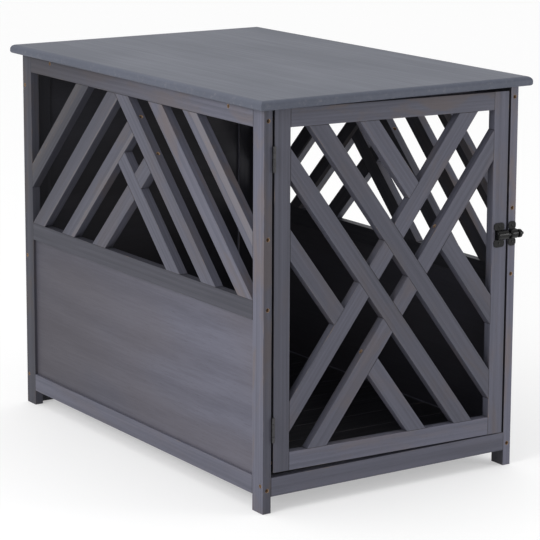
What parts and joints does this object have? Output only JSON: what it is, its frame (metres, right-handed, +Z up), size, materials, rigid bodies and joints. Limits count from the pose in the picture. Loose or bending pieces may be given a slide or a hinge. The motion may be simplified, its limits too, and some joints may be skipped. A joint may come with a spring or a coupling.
{
  "type": "dog crate end table",
  "caption": "Wooden dog crate that serves as an end table: lattice sides and door, solid lower panels, plank floor, overhanging top and a small bolt latch.",
  "frame": {"origin": "on the floor under the middle of the table", "axes": "+X to the right as seen from the door, +Y from the door to the back, +Z up"},
  "size_m": [0.52, 0.8, 0.645],
  "materials": {
    "top_paint": "satin blue-grey paint",
    "lath_wood": "grey stain, faint grain",
    "panel_wood": "grey stained plywood",
    "floor_wood": "grey stain",
    "black_iron": "black, half gloss",
    "hinge_steel": "zinc plated",
    "screw_steel": "dull"
  },
  "bodies": {
    "cabinet": {"back_bottom_rail": "lath_wood", "back_left_stile": "lath_wood", "back_panel": "panel_wood", "back_right_stile": "lath_wood", "back_top_rail": "lath_wood", "cabinet_hardware_screws": "screw_steel", "cabinet_screws": "screw_steel", "floor_planks": "floor_wood", "front_batten": "lath_wood", "front_rail": "lath_wood", "hinge_pins": "hinge_steel", "hinge_post_leaves": "hinge_steel", "latch_guide": "black_iron", "left_bottom_rail": "lath_wood", "left_floor_cleat": "floor_wood", "left_front_slat_1": "lath_wood", "left_front_slat_2": "lath_wood", "left_front_slat_3": "lath_wood", "left_front_slat_4": "lath_wood", "left_front_stile": "lath_wood", "left_middle_rail": "lath_wood", "left_panel": "panel_wood", "left_rear_slat_1": "lath_wood", "left_rear_slat_2": "lath_wood", "left_rear_slat_3": "lath_wood", "left_rear_slat_4": "lath_wood", "left_rear_stile": "lath_wood", "left_top_rail": "lath_wood", "rear_batten": "lath_wood", "right_bottom_rail": "lath_wood", "right_floor_cleat": "floor_wood", "right_front_slat_1": "lath_wood", "right_front_slat_2": "lath_wood", "right_front_slat_3": "lath_wood", "right_front_slat_4": "lath_wood", "right_front_stile": "lath_wood", "right_middle_rail": "lath_wood", "right_panel": "panel_wood", "right_rear_slat_1": "lath_wood", "right_rear_slat_2": "lath_wood", "right_rear_slat_3": "lath_wood", "right_rear_slat_4": "lath_wood", "right_rear_stile": "lath_wood", "right_top_rail": "lath_wood", "table_top": "top_paint"},
    "door": {"door_bottom_rail": "lath_wood", "door_corner_slats": "lath_wood", "door_end_slats": "lath_wood", "door_hardware_screws": "screw_steel", "door_hinge_stile": "lath_wood", "door_latch_stile": "lath_wood", "door_long_slats": "lath_wood", "door_middle_slats": "lath_wood", "door_screws": "screw_steel", "door_side_slats": "lath_wood", "door_top_and_bottom_slats": "lath_wood", "door_top_rail": "lath_wood", "hinge_door_leaves": "hinge_steel", "latch_catch": "black_iron"},
    "latch_bolt": {"latch_bolt": "black_iron"}
  },
  "joints": [
    {"name": "door_hinge", "type": "hinge", "parent": "cabinet", "child": "door", "pos_m": [-0.227, -0.3866, 0.343], "axis": [0, 0, -1], "range_deg": [0, 180]},
    {"name": "latch_bolt_slide", "type": "slide", "parent": "cabinet", "child": "latch_bolt", "axis": [1, 0, 0], "range_m": [0, 0.017]}
  ]
}
